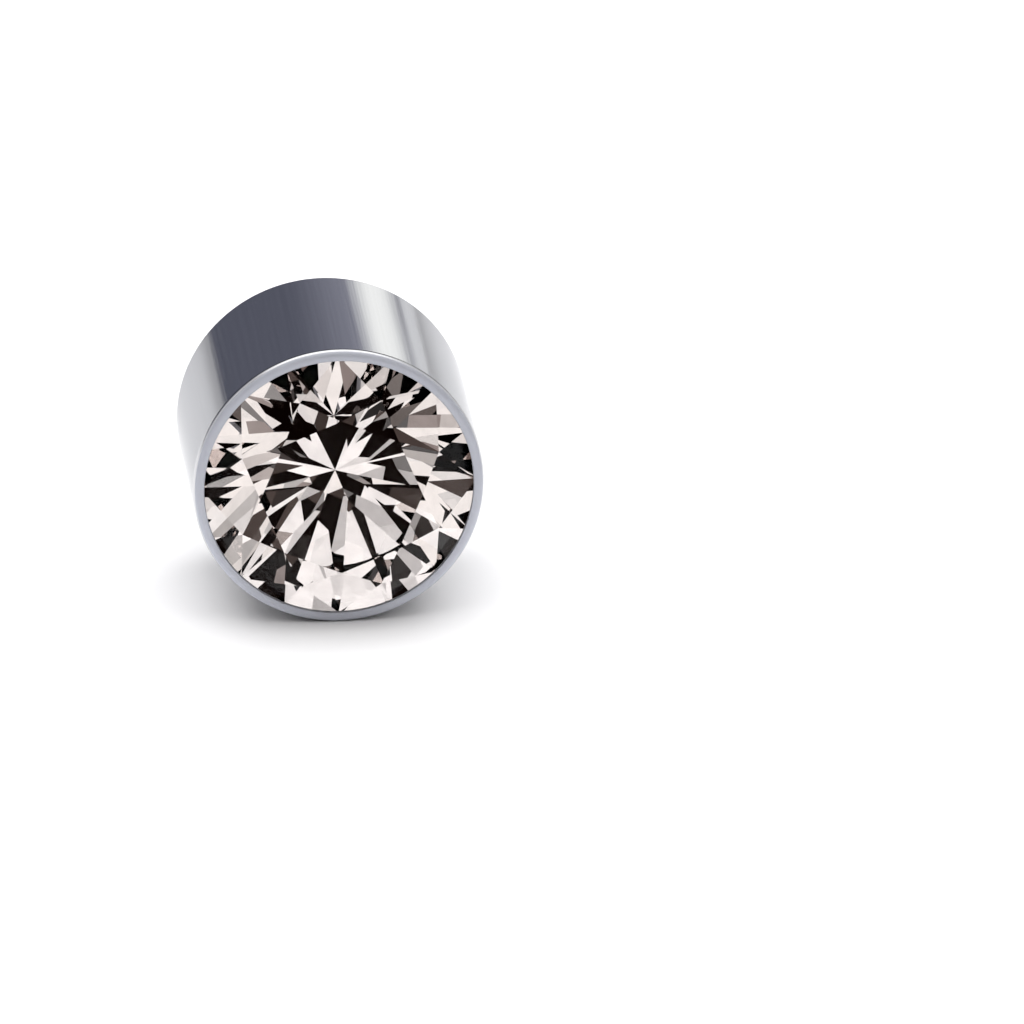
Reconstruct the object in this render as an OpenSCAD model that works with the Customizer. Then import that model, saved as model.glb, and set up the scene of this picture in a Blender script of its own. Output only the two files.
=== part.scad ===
// Magnetic stud earring: a steel cup that holds one round brilliant stone in its open front,
// a disc magnet in its back, and the loose disc that clips to it through the ear lobe.
// It lies on its barrel, with the stone facing -Y and the floor at z = 0.

/* [Cup] */
// Outer diameter of the steel cup
cup_d = 8; // [7.6:0.1:10]
// Depth of the cup as a share of its diameter
cup_depth_share = 0.7; // [0.66:0.01:0.8]
// Radius of the rounded front edge
front_round = 0.2; // [0.1:0.01:0.25]
// Radius of the broken back edge
back_round = 0.1; // [0.05:0.01:0.2]
// Width of the whole front rim, from the barrel to the mouth
rim_w = 0.3; // [0.28:0.01:0.4]
// Thickness of the lip that is turned over the stone
lip_t = 0.12; // [0.08:0.01:0.15]

/* [Stone] */
// How far the stone's girdle reaches under the lip
bite = 0.08; // [0.06:0.01:0.1]
// Table across its corners as a share of the stone's diameter
table_share = 0.59; // [0.53:0.01:0.62]
// Slope of the eight crown mains, in degrees
crown_slope = 32; // [28:0.5:36]
// Slope of the eight pavilion mains, in degrees
pavilion_slope = 43; // [40:0.25:43.25]
// Reach of the star facets from the table's edge towards the girdle
star_reach = 0.5; // [0.4:0.01:0.6]
// Reach of the lower halves from the girdle towards the culet
half_reach = 0.78; // [0.7:0.01:0.84]
// Thickness of the girdle at its thick points
girdle_t = 0.2; // [0.17:0.01:0.3]
// Number of polished flats round the girdle
girdle_flats = 64; // [32:16:96]

/* [Magnets] */
// Diameter of the magnet in the cup
magnet_d = 6; // [5:0.1:6.5]
// Thickness of the magnet in the cup
magnet_t = 1; // [0.7:0.1:1.1]
// Diameter of the loose disc behind the cup
clasp_d = 5; // [4:0.1:5.2]
// Thickness of the loose disc
clasp_t = 1.5; // [1.2:0.1:1.8]
// Radius of the disc's rounded edges
clasp_round = 0.25; // [0.1:0.05:0.3]

/* [Fit] */
// Gap between pieces that are set or glued together
gap = 0.02; // [0.01:0.005:0.03]
// How far the magnet sits below the cup's back edge
magnet_sunk = 0.05; // [0.02:0.01:0.1]

/* [Hidden] */
$fn = 96;

cup_r = cup_d / 2;
cup_depth = cup_d * cup_depth_share;
mouth_r = cup_r - rim_w;

// The stone, from its girdle radius to its three heights, all taken from the girdle's top edge
stone_r = mouth_r + bite;
table_r = stone_r * table_share;
table_z = (stone_r - table_r) * tan(crown_slope);
culet_z = -girdle_t - stone_r * tan(pavilion_slope);

// Between two mains stand two halves, a quarter step off them, and one star, half a step off
mains = 8;
half_turn = 360 / mains / 4;
star_turn = 360 / mains / 2;
main_flats = girdle_flats / mains;
half_flats = main_flats / 2;

// Where a star's tip meets two mains and two upper halves
table_flat_r = table_r * cos(star_turn);
star_tip_r = table_flat_r + star_reach * (stone_r - table_flat_r);
star_tip_z = table_z - (star_tip_r * cos(star_turn) - table_r) * tan(crown_slope);
upper_half_slope = atan(star_tip_z / ((stone_r - star_tip_r) * cos(half_turn)));

// Where two lower halves meet on the line between two pavilion mains
half_tip_r = (1 - half_reach) * stone_r;
half_tip_z = culet_z + half_tip_r * cos(star_turn) * tan(pavilion_slope);
lower_half_slope = atan((-girdle_t - half_tip_z) / ((stone_r - half_tip_r) * cos(half_turn)));

// The seat: heights are below the cup's front plane. The pavilion bears on a slope of this
// width, and the culet hangs clear of the bore's floor
seat_w = 0.25;
culet_room = 0.1;
groove_r = stone_r + gap;
groove_top = lip_t + (groove_r - mouth_r) * tan(upper_half_slope);
girdle_top = groove_top + gap;
seat_top = girdle_top + girdle_t + gap;
bore_r = mouth_r - seat_w;
seat_bottom = seat_top + (groove_r - bore_r) * tan(lower_half_slope);
bore_depth = girdle_top - culet_z + culet_room;

// The back: the magnet's pocket, and the loose disc against the magnet
pocket_r = magnet_d / 2 + 2 * gap;
pocket_depth = magnet_t + magnet_sunk + gap;
clasp_front = cup_depth - magnet_sunk + gap;

// The part is centred between the table and the far face of the loose disc
front_reach = table_z - girdle_top;
back_reach = clasp_front + clasp_t;
middle = (back_reach - front_reach) / 2;

// The stone's points stand in rings, and these are the numbers that the rings start at
star_start = mains;
top_start = star_start + mains;
bottom_start = top_start + girdle_flats;
half_start = bottom_start + girdle_flats;
culet = half_start + mains;

// A meshed copy of the barrel has this many flats, and half a flat's turn on its axis, in degrees,
// lays it on the middle of one
barrel_flats = 44;
rest_turn = 180 / barrel_flats;

// How far a cut runs past the metal that it cuts
overcut = 1;

// Lays a piece that was made standing, front up, down on the barrel
module lay_down() {
    translate([0, -middle, cup_r])
        rotate([90, 0, 0])
            children();
}

// The waste outside a round edge, in section: the edge's corner lies at the origin
module round_waste(radius) {
    difference() {
        translate([-radius, -radius])
            square(2 * radius);
        translate([-radius, -radius])
            circle(r = radius);
    }
}

// Half of the cup's section, with the front plane at height 0
module cup_section() {
    difference() {
        translate([0, -cup_depth])
            square([cup_r, cup_depth]);
        // Mouth, groove for the girdle, sloping seat and the bore behind the stone
        polygon([
            [-overcut, overcut],
            [mouth_r, overcut],
            [mouth_r, -lip_t],
            [groove_r, -groove_top],
            [groove_r, -seat_top],
            [bore_r, -seat_bottom],
            [bore_r, -bore_depth],
            [-overcut, -bore_depth]
        ]);
        // Pocket for the magnet
        translate([-overcut, -cup_depth - overcut])
            square([pocket_r + overcut, pocket_depth + overcut]);
        translate([cup_r, 0])
            round_waste(front_round);
        translate([cup_r, -cup_depth])
            mirror([0, 1])
                round_waste(back_round);
    }
}

module bezel_cup() {
    color("silver")
        lay_down()
            rotate([0, 0, rest_turn])
                rotate_extrude()
                    cup_section();
}

// A ring of points at one radius and height, the first of them at an angle
function ring(count, first_turn, r, z) = [
    for (i = [0 : count - 1])
        let (turn = first_turn + 360 / count * i)
            [r * cos(turn), r * sin(turn), z]
];

// A ring along an edge of the girdle, which the halves bite into between its thick points.
// The slope is negative where the edge dips
function girdle_ring(z, slope) = [
    for (i = [0 : girdle_flats - 1])
        let (turn = 360 / girdle_flats * i,
             off_half = turn % star_turn - half_turn,
             bite_in = stone_r * (cos(off_half) - cos(half_turn)))
            [stone_r * cos(turn), stone_r * sin(turn), z + bite_in * tan(slope)]
];

// Numbers of the points, where i counts round a ring and past its end
function table_at(i) = i % mains;
function star_at(i) = star_start + (i + mains) % mains;
function top_at(i) = top_start + i % girdle_flats;
function bottom_at(i) = bottom_start + i % girdle_flats;
function half_at(i) = half_start + (i + mains) % mains;

// A facet lists its points clockwise, as seen from outside
function crown_facets(i) = [
    [table_at(i), table_at(i + 1), star_at(i)],
    [table_at(i), star_at(i), top_at(main_flats * i), star_at(i - 1)],
    [star_at(i), for (k = [half_flats : -1 : 0]) top_at(main_flats * i + k)],
    [star_at(i), for (k = [main_flats : -1 : half_flats]) top_at(main_flats * i + k)]
];
function girdle_flat(i) = [top_at(i), top_at(i + 1), bottom_at(i + 1), bottom_at(i)];
function pavilion_facets(i) = [
    [half_at(i), for (k = [0 : half_flats]) bottom_at(main_flats * i + k)],
    [half_at(i), for (k = [half_flats : main_flats]) bottom_at(main_flats * i + k)],
    [culet, half_at(i - 1), bottom_at(main_flats * i), half_at(i)]
];

module brilliant() {
    polyhedron(
        points = concat(
            ring(mains, 0, table_r, table_z),
            ring(mains, star_turn, star_tip_r, star_tip_z),
            girdle_ring(0, -upper_half_slope),
            girdle_ring(-girdle_t, lower_half_slope),
            ring(mains, star_turn, half_tip_r, half_tip_z),
            [[0, 0, culet_z]]
        ),
        faces = [
            [for (i = [mains - 1 : -1 : 0]) table_at(i)],
            for (i = [0 : mains - 1]) each crown_facets(i),
            for (i = [0 : girdle_flats - 1]) girdle_flat(i),
            for (i = [0 : mains - 1]) each pavilion_facets(i)
        ]
    );
}

module stone() {
    color("lavenderblush")
        lay_down()
            translate([0, 0, -girdle_top])
                brilliant();
}

module cup_magnet() {
    color("gainsboro")
        lay_down()
            translate([0, 0, magnet_sunk - cup_depth])
                cylinder(d = magnet_d, h = magnet_t);
}

// Half of the loose disc's section, with its front face at height 0
module clasp_section() {
    difference() {
        translate([0, -clasp_t])
            square([clasp_d / 2, clasp_t]);
        translate([clasp_d / 2, 0])
            round_waste(clasp_round);
        translate([clasp_d / 2, -clasp_t])
            mirror([0, 1])
                round_waste(clasp_round);
    }
}

module clasp_back() {
    color("silver")
        lay_down()
            translate([0, 0, -clasp_front])
                rotate_extrude()
                    clasp_section();
}

bezel_cup();
stone();
cup_magnet();
clasp_back();
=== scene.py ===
from math import atan, cos, pi, radians, sin, tan

import bmesh
import bpy
from mathutils import Matrix, Vector


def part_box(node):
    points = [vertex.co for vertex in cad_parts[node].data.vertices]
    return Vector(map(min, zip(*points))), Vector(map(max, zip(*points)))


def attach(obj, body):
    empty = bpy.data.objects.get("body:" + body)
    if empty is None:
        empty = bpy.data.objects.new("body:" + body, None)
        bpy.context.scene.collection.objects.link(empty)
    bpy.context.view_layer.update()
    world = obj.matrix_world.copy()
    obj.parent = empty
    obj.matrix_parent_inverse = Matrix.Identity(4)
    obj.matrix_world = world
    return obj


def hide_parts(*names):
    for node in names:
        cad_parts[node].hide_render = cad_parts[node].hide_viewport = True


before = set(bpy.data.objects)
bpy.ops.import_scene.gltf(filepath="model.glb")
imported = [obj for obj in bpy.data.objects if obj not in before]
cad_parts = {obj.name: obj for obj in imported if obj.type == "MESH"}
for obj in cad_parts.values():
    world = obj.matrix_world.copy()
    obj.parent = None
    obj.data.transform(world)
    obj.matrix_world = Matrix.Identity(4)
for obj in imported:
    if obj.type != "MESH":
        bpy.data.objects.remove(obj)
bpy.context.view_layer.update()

# The camera looks a little down on the stud and from a little to its left, through a long lens,
# so that the barrel keeps almost its full width to the back. The stud sits left of the middle.
MM = 0.001
view_azimuth = radians(-5.43)
view_elevation = radians(21.9)
camera_distance = 778.5 * MM
lens_mm = 1000
sensor_mm = 36
image_px = 1024
rim_centre_px = Vector((339.2, 487.3))
cup_low, cup_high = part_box("bezel_cup")
axis_z = (cup_low.z + cup_high.z) / 2
rim_centre = Vector((0, cup_low.y, axis_z))

toward_camera = Vector((
    sin(view_azimuth) * cos(view_elevation),
    -cos(view_azimuth) * cos(view_elevation),
    sin(view_elevation),
))
camera_data = bpy.data.cameras.new("camera")
camera_data.lens = lens_mm
camera_data.sensor_width = sensor_mm
camera_data.clip_start = camera_distance / 10
camera_data.clip_end = camera_distance * 4
camera = bpy.data.objects.new("camera", camera_data)
bpy.context.scene.collection.objects.link(camera)
bpy.context.scene.camera = camera
camera.rotation_mode = "QUATERNION"
camera.rotation_quaternion = (-toward_camera).to_track_quat("-Z", "Y")
camera_right = camera.rotation_quaternion @ Vector((1, 0, 0))
camera_up = camera.rotation_quaternion @ Vector((0, 1, 0))
metre_per_px = camera_distance * sensor_mm / lens_mm / image_px
off_middle = rim_centre_px - Vector((image_px / 2, image_px / 2))
camera.location = (
    rim_centre
    + toward_camera * camera_distance
    - camera_right * off_middle.x * metre_per_px
    + camera_up * off_middle.y * metre_per_px
)

# The floor is one sheet of white acrylic with a faint matt grain. The barrel lies on it, and it
# is far wider than the view.
floor_reach = 1.5
floor_mesh = bmesh.new()
bmesh.ops.create_grid(floor_mesh, x_segments=8, y_segments=8, size=floor_reach)
floor_data = bpy.data.meshes.new("floor")
floor_mesh.to_mesh(floor_data)
floor_mesh.free()
floor = bpy.data.objects.new("floor", floor_data)
bpy.context.scene.collection.objects.link(floor)


def finish(name, colour, metallic, roughness, grain, tone, gloss, relief):
    """A surface whose tone, gloss and height vary with a noise, stretched by its grain per metre."""
    material = bpy.data.materials.new(name)
    material.use_nodes = True
    nodes = material.node_tree.nodes
    link = material.node_tree.links.new
    shader = nodes["Principled BSDF"]
    shader.inputs["Metallic"].default_value = metallic
    stretch = nodes.new("ShaderNodeMapping")
    stretch.inputs["Scale"].default_value = grain
    link(nodes.new("ShaderNodeTexCoord").outputs["Object"], stretch.inputs["Vector"])
    noise = nodes.new("ShaderNodeTexNoise")
    noise.inputs["Scale"].default_value = 1
    noise.inputs["Detail"].default_value = 3
    noise_low, noise_high = 0.35, 0.65
    link(stretch.outputs["Vector"], noise.inputs["Vector"])
    tones = nodes.new("ShaderNodeValToRGB")
    dark, light = tones.color_ramp.elements
    dark.position = noise_low
    light.position = noise_high
    dark.color = (*(channel * (1 - tone) for channel in colour), 1)
    light.color = (*colour, 1)
    link(noise.outputs["Fac"], tones.inputs["Fac"])
    link(tones.outputs["Color"], shader.inputs["Base Color"])
    shader.inputs["Roughness"].default_value = roughness
    if gloss:
        glosses = nodes.new("ShaderNodeMapRange")
        glosses.inputs["From Min"].default_value = noise_low
        glosses.inputs["From Max"].default_value = noise_high
        glosses.inputs["To Min"].default_value = roughness - gloss
        glosses.inputs["To Max"].default_value = roughness + gloss
        link(noise.outputs["Fac"], glosses.inputs["Value"])
        link(glosses.outputs["Result"], shader.inputs["Roughness"])
    if relief:
        bump = nodes.new("ShaderNodeBump")
        bump.inputs["Distance"].default_value = relief
        link(noise.outputs["Fac"], bump.inputs["Height"])
        link(bump.outputs["Normal"], shader.inputs["Normal"])
    return material


acrylic = finish(
    "white_acrylic", (0.9, 0.9, 0.905), metallic=0, roughness=0.45, grain=(3000, 3000, 3000),
    tone=0.005, gloss=0.05, relief=0,
)
acrylic.node_tree.nodes["Principled BSDF"].inputs["Specular IOR Level"].default_value = 0.2
floor_data.materials.append(acrylic)

# The light is a white tent round the stud, with dark flags that draw the steel's bands and the
# stone's dark facets. A panel is a box of directions, as seen from the stud. A softbox overhead
# lights the floor, and neither the metal nor the stone mirrors it.
world = bpy.data.worlds.new("light_tent")
bpy.context.scene.world = world
world.use_nodes = True
tent = world.node_tree.nodes
join = world.node_tree.links.new
tent_white = (0.85, 0.85, 0.87)
brown = (0.34, 0.29, 0.28)
umber = (0.09, 0.07, 0.064)
black = (0.003, 0.0012, 0.0009)
EVERY = (-2, 2)
FRONT = (-2, 0)
panels = [
    # across x, along y, up z, softness, colour
    # Overhead, with the brightest part a little behind the stud
    (EVERY, EVERY, (0.80, 2), 0.10, (1.20, 1.20, 1.21)),
    (EVERY, (0.0, 0.6), (0.80, 2), 0.10, (2.0, 2.0, 2.02)),
    # Behind, for the barrel: a grey flag, a paler one, two lit strips and a dim one
    ((-2, 0.30), (0.4, 2), (-2, 0.60), 0.09, (0.175, 0.182, 0.235)),
    ((0.06, 0.60), (0.4, 2), (-2, 0.60), 0.20, (0.42, 0.425, 0.51)),
    ((0.235, 0.60), (0.4, 2), (0.13, 0.60), 0.06, (1.86, 1.86, 1.80)),
    ((0.25, 0.60), (0.4, 2), (-0.1, 0.085), 0.02, (1.36, 1.36, 1.37)),
    ((0.30, 0.60), (0.4, 2), (0.085, 0.117), 0.015, (0.62, 0.62, 0.66)),
    # A black strip that the rounded edge mirrors as a thin line
    (EVERY, (0.65, 0.88), (0.05, 2), 0.02, black),
    # In front, for the stone: a lit band with dark flags, and under it a black one with paler flags
    (EVERY, FRONT, (0.50, 0.90), 0.08, (1.25, 1.23, 1.22)),
    ((-2, -0.60), FRONT, (0.58, 0.80), 0.05, brown),
    ((-0.54, -0.43), FRONT, (0.50, 0.74), 0.03, umber),
    ((-0.14, -0.04), FRONT, (0.70, 0.80), 0.03, brown),
    ((0.12, 0.24), FRONT, (0.70, 0.84), 0.03, black),
    ((0.27, 0.35), FRONT, (0.69, 0.80), 0.03, brown),
    ((0.62, 2), FRONT, (0.45, 0.66), 0.05, brown),
    (EVERY, FRONT, (-0.1, 0.50), 0.08, black),
    ((-0.30, -0.05), FRONT, (0.20, 0.46), 0.04, umber),
    ((0.20, 0.50), FRONT, (0.22, 0.44), 0.04, umber),
]
direction = tent.new("ShaderNodeTexCoord").outputs["Generated"]
axes = tent.new("ShaderNodeSeparateXYZ")
join(direction, axes.inputs[0])


def ramp(value, low, high):
    """0 below low and 1 above high, with an eased step between."""
    node = tent.new("ShaderNodeMapRange")
    node.interpolation_type = "SMOOTHSTEP"
    join(value, node.inputs["Value"])
    node.inputs["From Min"].default_value = low
    node.inputs["From Max"].default_value = high
    return node.outputs[0]


def combine(operation, a, b):
    """One sum of two values: MULTIPLY or SUBTRACT."""
    node = tent.new("ShaderNodeMath")
    node.operation = operation
    join(a, node.inputs[0])
    join(b, node.inputs[1])
    return node.outputs[0]


# A colour mix has its colours behind its number and vector sockets
UNDER, OVER, MIXED = 6, 7, 2
colour = tent.new("ShaderNodeRGB").outputs[0]
colour.default_value = (*tent_white, 1)
for x_range, y_range, z_range, soft, panel_colour in panels:
    inside = None
    for axis, (low, high) in zip("XYZ", (x_range, y_range, z_range)):
        along = axes.outputs[axis]
        above = ramp(along, low - soft, low + soft)
        past = ramp(along, high - soft, high + soft)
        band = combine("SUBTRACT", above, past)
        inside = band if inside is None else combine("MULTIPLY", inside, band)
    mix = tent.new("ShaderNodeMix")
    mix.data_type = "RGBA"
    join(inside, mix.inputs["Factor"])
    join(colour, mix.inputs[UNDER])
    mix.inputs[OVER].default_value = (*panel_colour, 1)
    colour = mix.outputs[MIXED]
join(colour, tent["Background"].inputs["Color"])

softbox_w = 120 * MM
softbox_back = 10 * MM
softbox_height = 80 * MM
softbox_watts = 0.08
softbox_data = bpy.data.lights.new("softbox", "AREA")
softbox_data.size = softbox_w
softbox_data.energy = softbox_watts
softbox = bpy.data.objects.new("softbox", softbox_data)
softbox.location = (0, softbox_back, softbox_height)
softbox.visible_camera = False
softbox.visible_glossy = False
softbox.visible_transmission = False
bpy.context.scene.collection.objects.link(softbox)

bpy.context.scene.view_settings.view_transform = "Standard"
bounces = 10
bpy.context.scene.cycles.max_bounces = bounces
bpy.context.scene.cycles.glossy_bounces = bounces
bpy.context.scene.cycles.transmission_bounces = bounces

# The cup is turned from stainless bar: a straight barrel with a rounded front edge, a bored mouth
# with a groove and a sloping seat for the stone, and a pocket for the magnet in its back. The
# groove and the seat follow the stone's facets, so the stone's cut is worked out first.
cup_r = 4.0 * MM
rim_w = 0.3 * MM
bite = 0.08 * MM
mouth_r = cup_r - rim_w
stone_r = mouth_r + bite
table_share = 0.59
crown_slope = radians(32)
pavilion_slope = radians(43)
star_reach = 0.5
half_reach = 0.78
girdle_t = 0.2 * MM
girdle_flats = 64
mains = 8
star_turn = pi / mains
half_turn = star_turn / 2
table_r = stone_r * table_share
table_z = (stone_r - table_r) * tan(crown_slope)
culet_z = -girdle_t - stone_r * tan(pavilion_slope)
table_flat_r = table_r * cos(star_turn)
star_tip_r = table_flat_r + star_reach * (stone_r - table_flat_r)
star_tip_z = table_z - (star_tip_r * cos(star_turn) - table_r) * tan(crown_slope)
star_slope = atan((table_z - star_tip_z) / (star_tip_r - table_flat_r))
upper_slope = atan(star_tip_z / ((stone_r - star_tip_r) * cos(half_turn)))
half_tip_r = (1 - half_reach) * stone_r
half_tip_z = culet_z + half_tip_r * cos(star_turn) * tan(pavilion_slope)
lower_slope = atan((-girdle_t - half_tip_z) / ((stone_r - half_tip_r) * cos(half_turn)))

gap = 0.02 * MM
lip_t = 0.12 * MM
groove_r = stone_r + gap
groove_top = lip_t + (groove_r - mouth_r) * tan(upper_slope)
girdle_top = groove_top + gap
seat_top = girdle_top + girdle_t + gap
seat_w = 0.25 * MM
bore_r = mouth_r - seat_w
seat_bottom = seat_top + (groove_r - bore_r) * tan(lower_slope)
culet_room = 0.1 * MM
bore_depth = girdle_top - culet_z + culet_room
cup_depth = cup_high.y - cup_low.y
magnet_low, magnet_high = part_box("cup_magnet")
magnet_r = 3.0 * MM
pocket_r = magnet_r + 2 * gap
pocket_floor = magnet_low.y - cup_low.y - gap
front_round = 0.2 * MM
back_round = 0.1 * MM
burnished = 0.03 * MM
round_steps = 12
turn_steps = 256
seam = 0.0005 * MM
sharp_edge = radians(30)
cup_section = [
    # radius, depth behind the rim, rounding of the corner
    (0, bore_depth, 0),
    (bore_r, bore_depth, 0),
    (bore_r, seat_bottom, 0),
    (groove_r, seat_top, 0),
    (groove_r, groove_top, 0),
    (mouth_r, lip_t, 0),
    (mouth_r, 0, burnished),
    (cup_r, 0, front_round),
    (cup_r, cup_depth, back_round),
    (pocket_r, cup_depth, burnished),
    (pocket_r, pocket_floor, 0),
    (0, pocket_floor, 0),
]


def turned(name, section, front_y):
    """Turns a section about the barrel's axis, its corners rounded first, into a closed mesh."""
    lathe = bmesh.new()
    corners = [lathe.verts.new((r, front_y + depth, axis_z)) for r, depth, _ in section]
    for a, b in zip(corners, corners[1:]):
        lathe.edges.new((a, b))
    for corner, (_, _, radius) in zip(corners, section):
        if radius:
            bmesh.ops.bevel(
                lathe, geom=[corner], offset=radius, offset_type="OFFSET", affect="VERTICES",
                segments=round_steps, profile=0.5, material=-1,
            )
    bmesh.ops.spin(
        lathe, geom=lathe.verts[:] + lathe.edges[:], cent=(0, 0, axis_z), axis=(0, 1, 0),
        angle=2 * pi, steps=turn_steps, use_merge=True,
    )
    bmesh.ops.remove_doubles(lathe, verts=lathe.verts, dist=seam)
    bmesh.ops.recalc_face_normals(lathe, faces=lathe.faces)
    for face in lathe.faces:
        face.smooth = True
    data = bpy.data.meshes.new(name)
    lathe.to_mesh(data)
    lathe.free()
    data.set_sharp_from_angle(angle=sharp_edge)
    piece = bpy.data.objects.new(name, data)
    bpy.context.scene.collection.objects.link(piece)
    # The largest faces set the shading beside a rounding, so a straight wall mirrors straight
    shading = piece.modifiers.new("true_walls", "WEIGHTED_NORMAL")
    shading.keep_sharp = True
    shading.weight = 100
    return piece


cup = turned("steel_cup", cup_section, cup_low.y)

# The barrel is brushed lengthwise, its front edge is polished and the rim's flat is left matt.
# Dark cement coats the groove, the seat and the bore, from the lip inwards.
steel = (0.585, 0.587, 0.60)
brushed = finish(
    "brushed_steel", steel, metallic=1, roughness=0.11, grain=(9000, 150, 9000),
    tone=0.07, gloss=0.03, relief=0.002 * MM,
)
brushed.node_tree.nodes["Principled BSDF"].inputs["Specular Tint"].default_value = (0.63, 0.635, 0.645, 1)
polished = finish(
    "polished_edge", steel, metallic=1, roughness=0.16, grain=(2000, 2000, 2000),
    tone=0.04, gloss=0.03, relief=0,
)
matt = finish(
    "matt_rim", (0.635, 0.65, 0.705), metallic=1, roughness=0.72, grain=(9000, 9000, 9000),
    tone=0.06, gloss=0.04, relief=0,
)
cement = finish(
    "dark_cement", (0.010, 0.006, 0.006), metallic=0, roughness=0.6, grain=(3000, 3000, 3000),
    tone=0.3, gloss=0.05, relief=0,
)
cup_finishes = [brushed, polished, matt, cement]
for material in cup_finishes:
    cup.data.materials.append(material)
matt_depth = 0.085 * MM
slack = 0.01 * MM
# A face's place gives its finish: in the hollow behind the lip, on the rim's flat or on its edge
for face in cup.data.polygons:
    depth = face.center.y - cup_low.y
    radius = (face.center - Vector((0, face.center.y, axis_z))).length
    if radius < groove_r + slack and lip_t < depth < bore_depth + slack:
        face.material_index = cup_finishes.index(cement)
    elif depth < matt_depth:
        face.material_index = cup_finishes.index(matt)
    elif depth < front_round:
        face.material_index = cup_finishes.index(polished)
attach(cup, "root")
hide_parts("bezel_cup")

# The stone is a round brilliant of cubic zirconia, ground flat by flat: the table, eight mains,
# eight stars and sixteen halves above the girdle, and eight mains and sixteen halves below it.
# Its back is silvered, which throws the light out through the front again.
half_r = stone_r * cos(half_turn)
rows = [
    # flats in the row, turn of the first, slope, radius and height of a point on it, side
    (mains, 0, crown_slope, stone_r, 0, 1),
    (2 * mains, half_turn, upper_slope, half_r, 0, 1),
    (mains, star_turn, star_slope, table_flat_r, table_z, 1),
    (1, 0, 0, 0, table_z, 1),
    (mains, 0, pavilion_slope, stone_r, -girdle_t, -1),
    (2 * mains, half_turn, lower_slope, half_r, -girdle_t, -1),
]
rough_t = 4 * stone_r
on_cut = 0.00002 * MM
same_corner = 0.0001 * MM
rough = bmesh.new()
bmesh.ops.create_cone(
    rough, cap_ends=True, segments=girdle_flats, radius1=stone_r, radius2=stone_r, depth=rough_t,
    matrix=Matrix.Rotation(pi / 2, 4, "Z"),
)
for count, first_turn, slope, radius, height, side in rows:
    for k in range(count):
        turn = first_turn + 2 * pi * k / count
        out = Vector((cos(turn), sin(turn), 0))
        normal = out * sin(slope) + Vector((0, 0, side * cos(slope)))
        cut = bmesh.ops.bisect_plane(
            rough, geom=rough.verts[:] + rough.edges[:] + rough.faces[:], dist=on_cut,
            plane_co=out * radius + Vector((0, 0, height)), plane_no=normal, clear_outer=True,
        )
        outline = [e for e in cut["geom_cut"] if isinstance(e, bmesh.types.BMEdge)]
        bmesh.ops.edgeloop_fill(rough, edges=outline)
bmesh.ops.remove_doubles(rough, verts=rough.verts, dist=same_corner)
bmesh.ops.recalc_face_normals(rough, faces=rough.faces)
bmesh.ops.transform(
    rough, verts=rough.verts,
    matrix=Matrix.Translation((0, cup_low.y + girdle_top, axis_z)) @ Matrix.Rotation(pi / 2, 4, "X"),
)
stone_data = bpy.data.meshes.new("brilliant_stone")
rough.to_mesh(stone_data)
rough.free()
stone = bpy.data.objects.new("brilliant_stone", stone_data)
bpy.context.scene.collection.objects.link(stone)

zirconia = finish(
    "cubic_zirconia", (1, 1, 1), metallic=0, roughness=0, grain=(500, 500, 500),
    tone=0.05, gloss=0, relief=0,
)
clear = zirconia.node_tree.nodes["Principled BSDF"]
clear.inputs["IOR"].default_value = 2.17
clear.inputs["Transmission Weight"].default_value = 1
# The front mirrors almost nothing, as if coated, so that the facets behind it show
clear.inputs["Specular Tint"].default_value = (0.02, 0.02, 0.02, 1)
haze = zirconia.node_tree.nodes.new("ShaderNodeVolumeAbsorption")
haze.inputs["Color"].default_value = (0.80, 0.72, 0.69, 1)
haze.inputs["Density"].default_value = 75
zirconia.node_tree.links.new(
    haze.outputs["Volume"], zirconia.node_tree.nodes["Material Output"].inputs["Volume"])
silvering = finish(
    "silvering", (0.965, 0.96, 0.955), metallic=1, roughness=0, grain=(1500, 1500, 1500),
    tone=0.06, gloss=0, relief=0,
)
stone_finishes = [zirconia, silvering]
for material in stone_finishes:
    stone_data.materials.append(material)
facing_back = 0.5
for face in stone_data.polygons:
    if face.normal.y > facing_back:
        face.material_index = stone_finishes.index(silvering)
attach(stone, "root")
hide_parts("stone")

# The magnet is a pressed and sintered disc with tumbled edges, plated with nickel. It is glued in
# the pocket, a little below the cup's back edge.
magnet_t = magnet_high.y - magnet_low.y
edge_round = 0.08 * MM
magnet = turned("pocket_magnet", [
    # radius, depth behind its front face, rounding of the corner
    (0, 0, 0),
    (magnet_r, 0, edge_round),
    (magnet_r, magnet_t, edge_round),
    (0, magnet_t, 0),
], magnet_low.y)
nickel = finish(
    "nickel_plate", (0.66, 0.63, 0.585), metallic=1, roughness=0.17, grain=(1800, 1800, 1800),
    tone=0.08, gloss=0.05, relief=0.0006 * MM,
)
magnet.data.materials.append(nickel)
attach(magnet, "root")
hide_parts("cup_magnet")

# The clip disc is a second magnet with well rounded edges, plated as the first is. Only the pull
# of the first holds it on the back of the cup.
clip_low, clip_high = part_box("clasp_back")
clip_t = clip_high.y - clip_low.y
clip_r = 2.5 * MM
clip_round = 0.25 * MM
clip = turned("clip_disc", [
    # radius, depth behind its front face, rounding of the corner
    (0, 0, 0),
    (clip_r, 0, clip_round),
    (clip_r, clip_t, clip_round),
    (0, clip_t, 0),
], clip_low.y)
clip.data.materials.append(nickel)
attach(clip, "root")
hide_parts("clasp_back")
